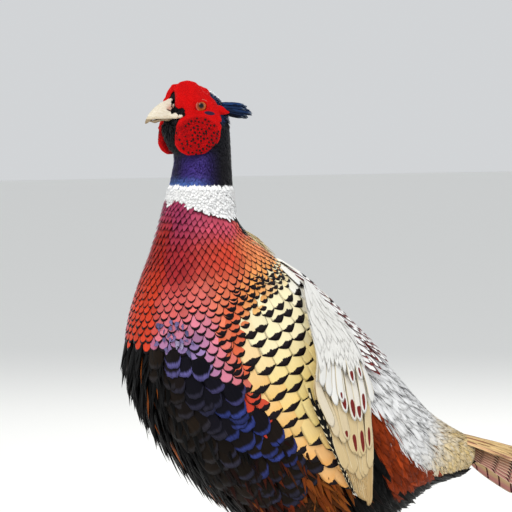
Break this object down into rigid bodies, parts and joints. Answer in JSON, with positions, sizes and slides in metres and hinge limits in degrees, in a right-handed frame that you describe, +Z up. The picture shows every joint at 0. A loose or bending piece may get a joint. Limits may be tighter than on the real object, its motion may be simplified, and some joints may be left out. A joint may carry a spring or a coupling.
{
  "type": "common pheasant cock figure",
  "caption": "Life-size cock pheasant standing upright on its feet, with red face wattles, ear tufts, white collar, folded wings and a long tapering tail.",
  "frame": {"origin": "on the floor, under the middle of the bird's bounding box", "axes": "+Z up; the bird faces -X, and its tail runs along +X; its right side is +Y"},
  "size_m": [0.7942, 0.1798, 0.5318],
  "materials": {
    "body_feathers": "copper red to buff feathers with black tips, soft sheen",
    "rump_feathers": "pale blue-grey hair-like feathers",
    "neck_feathers": "glossy violet-blue feathers with a white collar",
    "head_feathers": "glossy dark blue-green feathers",
    "tail_feathers": "buff feathers with narrow black bars",
    "wing_feathers": "pale grey coverts over buff flight feathers",
    "thigh_feathers": "dark brown short feathers",
    "face_skin": "bright red bare skin with fine raised bumps",
    "bill": "pale horn, satin",
    "eye": "orange-brown iris with a dark pupil, wet gloss",
    "leg_scales": "grey-brown scutes",
    "claw": "dark horn, satin"
  },
  "bodies": {
    "root": {"torso": "body_feathers", "rump": "rump_feathers", "neck": "neck_feathers", "head": "head_feathers", "tail": "tail_feathers", "wing_left": "wing_feathers", "wing_right": "wing_feathers", "thigh_left": "thigh_feathers", "thigh_right": "thigh_feathers", "ear_tuft_left": "head_feathers", "ear_tuft_right": "head_feathers", "wattle_left": "face_skin", "wattle_right": "face_skin", "bill_upper": "bill", "bill_lower": "bill", "eye_left": "eye", "eye_right": "eye", "tarsus_left": "leg_scales", "tarsus_right": "leg_scales", "foot_left": "leg_scales", "foot_right": "leg_scales", "spur_left": "claw", "spur_right": "claw", "claw_inner_left": "claw", "claw_middle_left": "claw", "claw_outer_left": "claw", "claw_hind_left": "claw", "claw_inner_right": "claw", "claw_middle_right": "claw", "claw_outer_right": "claw", "claw_hind_right": "claw"}
  },
  "joints": []
}
